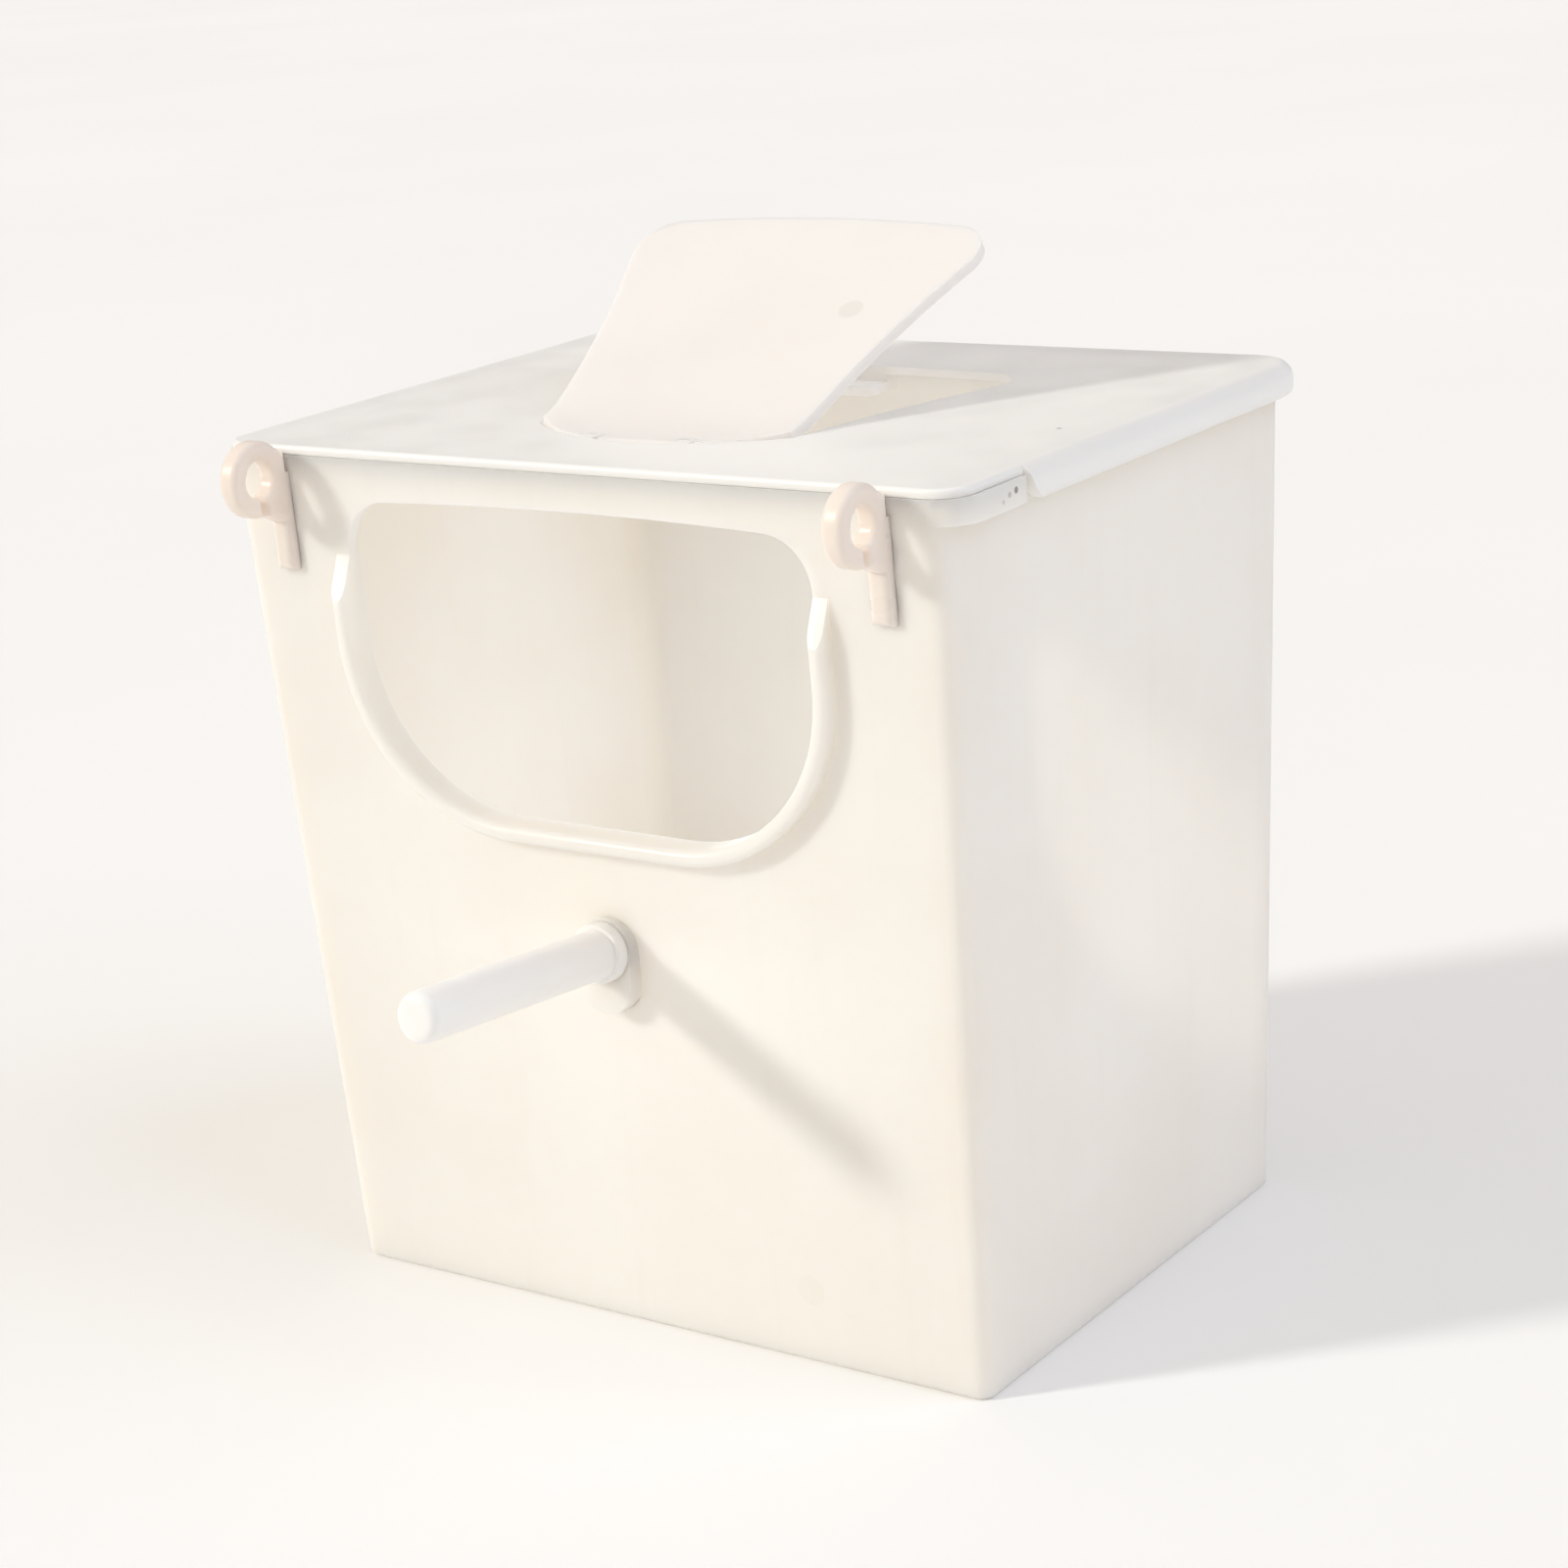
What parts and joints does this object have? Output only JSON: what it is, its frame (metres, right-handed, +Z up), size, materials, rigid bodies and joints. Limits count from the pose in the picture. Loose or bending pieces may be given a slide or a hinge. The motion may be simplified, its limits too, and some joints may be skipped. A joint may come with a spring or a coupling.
{
  "type": "cage-hung bird feeder box",
  "caption": "Tapered moulded plastic box with a D-shaped entrance, a perch, wire hooks and a lid with a swinging hatch.",
  "frame": {"origin": "middle of the base's underside", "axes": "+Z up, -Y out of the entrance side towards the cage, +X to the right seen from the entrance side"},
  "size_m": [0.135, 0.1424, 0.1593],
  "materials": {
    "tub_plastic": "satin",
    "lid_plastic": "satin",
    "hatch_plastic": "satin",
    "perch_plastic": "satin",
    "hook_plastic": "satin"
  },
  "bodies": {
    "box": {"box_body": "tub_plastic", "hook_left": "hook_plastic", "hook_right": "hook_plastic"},
    "lid": {"lid": "lid_plastic"},
    "hatch": {"hatch_flap": "hatch_plastic"},
    "perch": {"perch": "perch_plastic"}
  },
  "joints": [
    {"name": "lid_lift", "type": "slide", "parent": "box", "child": "lid", "axis": [0, 0, 1], "range_m": [0, 0.04]},
    {"name": "hatch_swing", "type": "hinge", "parent": "lid", "child": "hatch", "pos_m": [0, -0.0297, 0.13345], "axis": [1, 0, 0], "range_deg": [-25, 25]},
    {"name": "perch_pull", "type": "slide", "parent": "box", "child": "perch", "axis": [0, -0.9954, 0.0958], "range_m": [0, 0.02]}
  ]
}
